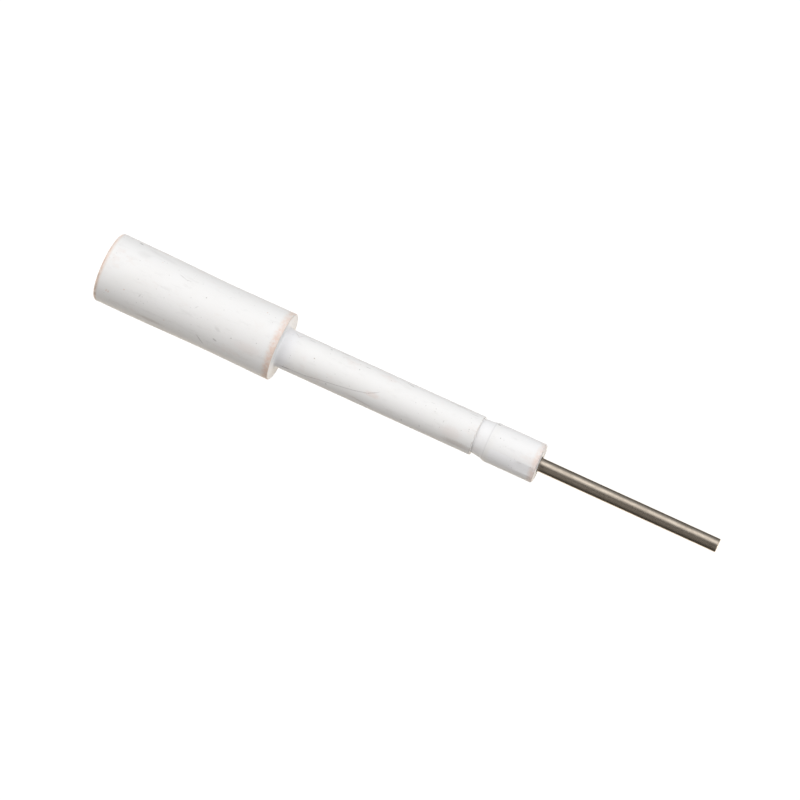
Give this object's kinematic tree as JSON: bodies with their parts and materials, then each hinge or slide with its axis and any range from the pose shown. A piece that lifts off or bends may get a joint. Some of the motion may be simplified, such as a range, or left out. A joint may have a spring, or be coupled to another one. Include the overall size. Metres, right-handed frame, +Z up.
{
  "type": "ignition electrode",
  "caption": "Stepped white ceramic insulator with a detent groove, holding a metal spark rod; the fat end has a socket with a plug-in contact pin.",
  "frame": {"origin": "on the rod's axis, in the plane of the shoulder that bears on the burner's bracket", "axes": "+X along the rod, towards the spark tip; +Z up; the lead socket opens to -X"},
  "size_m": [0.1123, 0.0122, 0.0122],
  "materials": {
    "unglazed_ceramic": "unglazed fired alumina, white, matt",
    "heat_resistant_alloy": "drawn heat-resistant wire, warm grey",
    "spring_steel": "plain stamped spring steel",
    "refractory_cement": "rough, buff, matt",
    "nickel_plated_brass": "turned brass with bright nickel plate"
  },
  "bodies": {
    "root": {"insulator": "unglazed_ceramic", "electrode_rod": "heat_resistant_alloy", "lock_washer": "spring_steel", "cement_plug": "refractory_cement", "contact_pin": "nickel_plated_brass"}
  },
  "joints": []
}
